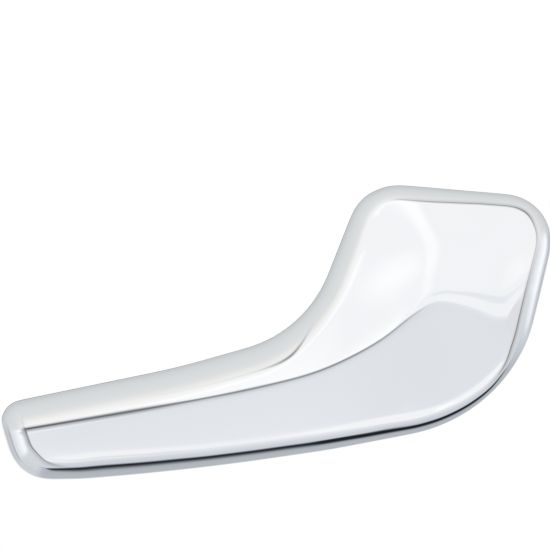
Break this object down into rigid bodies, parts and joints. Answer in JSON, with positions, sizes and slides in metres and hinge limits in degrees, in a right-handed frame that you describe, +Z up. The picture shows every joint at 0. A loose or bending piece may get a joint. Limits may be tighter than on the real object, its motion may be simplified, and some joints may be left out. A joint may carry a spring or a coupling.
{
  "type": "car interior door handle",
  "caption": "Chromed inner car door handle: a dished lever with a crease that fades out in a broad head, a hollow ribbed back and a pivot boss with a fluted blind bore.",
  "frame": {"origin": "on the pivot axis, halfway up the pivot boss", "axes": "+Z up the pivot axis towards the bore's mouth, +X along the lever from its tip to the head, -Y out of the front towards the user"},
  "size_m": [0.1253, 0.031, 0.0544],
  "materials": {
    "chrome": "mirror polished, with a nickel tint in the pocket"
  },
  "bodies": {
    "root": {"lever_handle": "chrome"}
  },
  "joints": []
}
